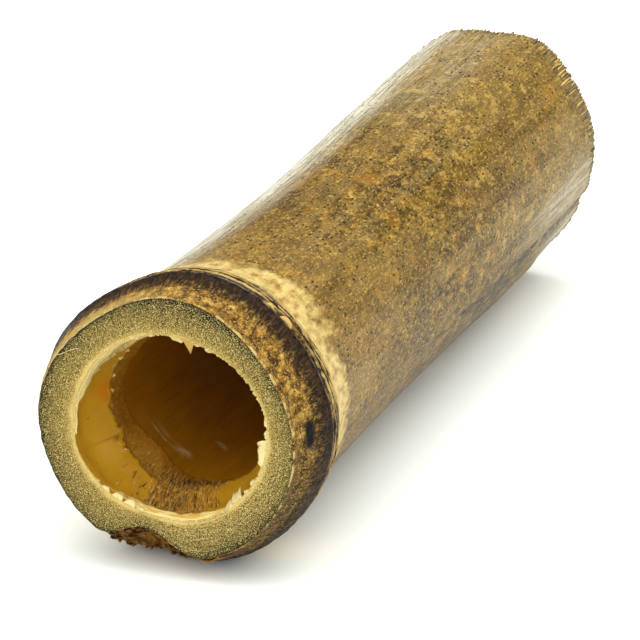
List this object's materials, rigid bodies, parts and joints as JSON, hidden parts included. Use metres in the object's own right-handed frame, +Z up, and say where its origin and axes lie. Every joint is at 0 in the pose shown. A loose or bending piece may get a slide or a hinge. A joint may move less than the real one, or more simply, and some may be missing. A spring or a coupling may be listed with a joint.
{
  "type": "bamboo cane",
  "caption": "Thick-walled length of bamboo culm, sawn off just past a node with its diaphragm broken through, lying on its side.",
  "frame": {"origin": "centre of the cane's footprint, on the surface it lies on", "axes": "+Y along the cane from the sawn node end to the far end, +Z up"},
  "size_m": [0.0846, 0.3346, 0.0839],
  "materials": {
    "bamboo": "weathered tan-brown rind with dark pepper specks and a dull gloss, dark glossy node ridge, pale waxy band behind it, porous khaki sawn end, amber inner skin"
  },
  "bodies": {
    "root": {"bamboo_cane": "bamboo"}
  },
  "joints": []
}
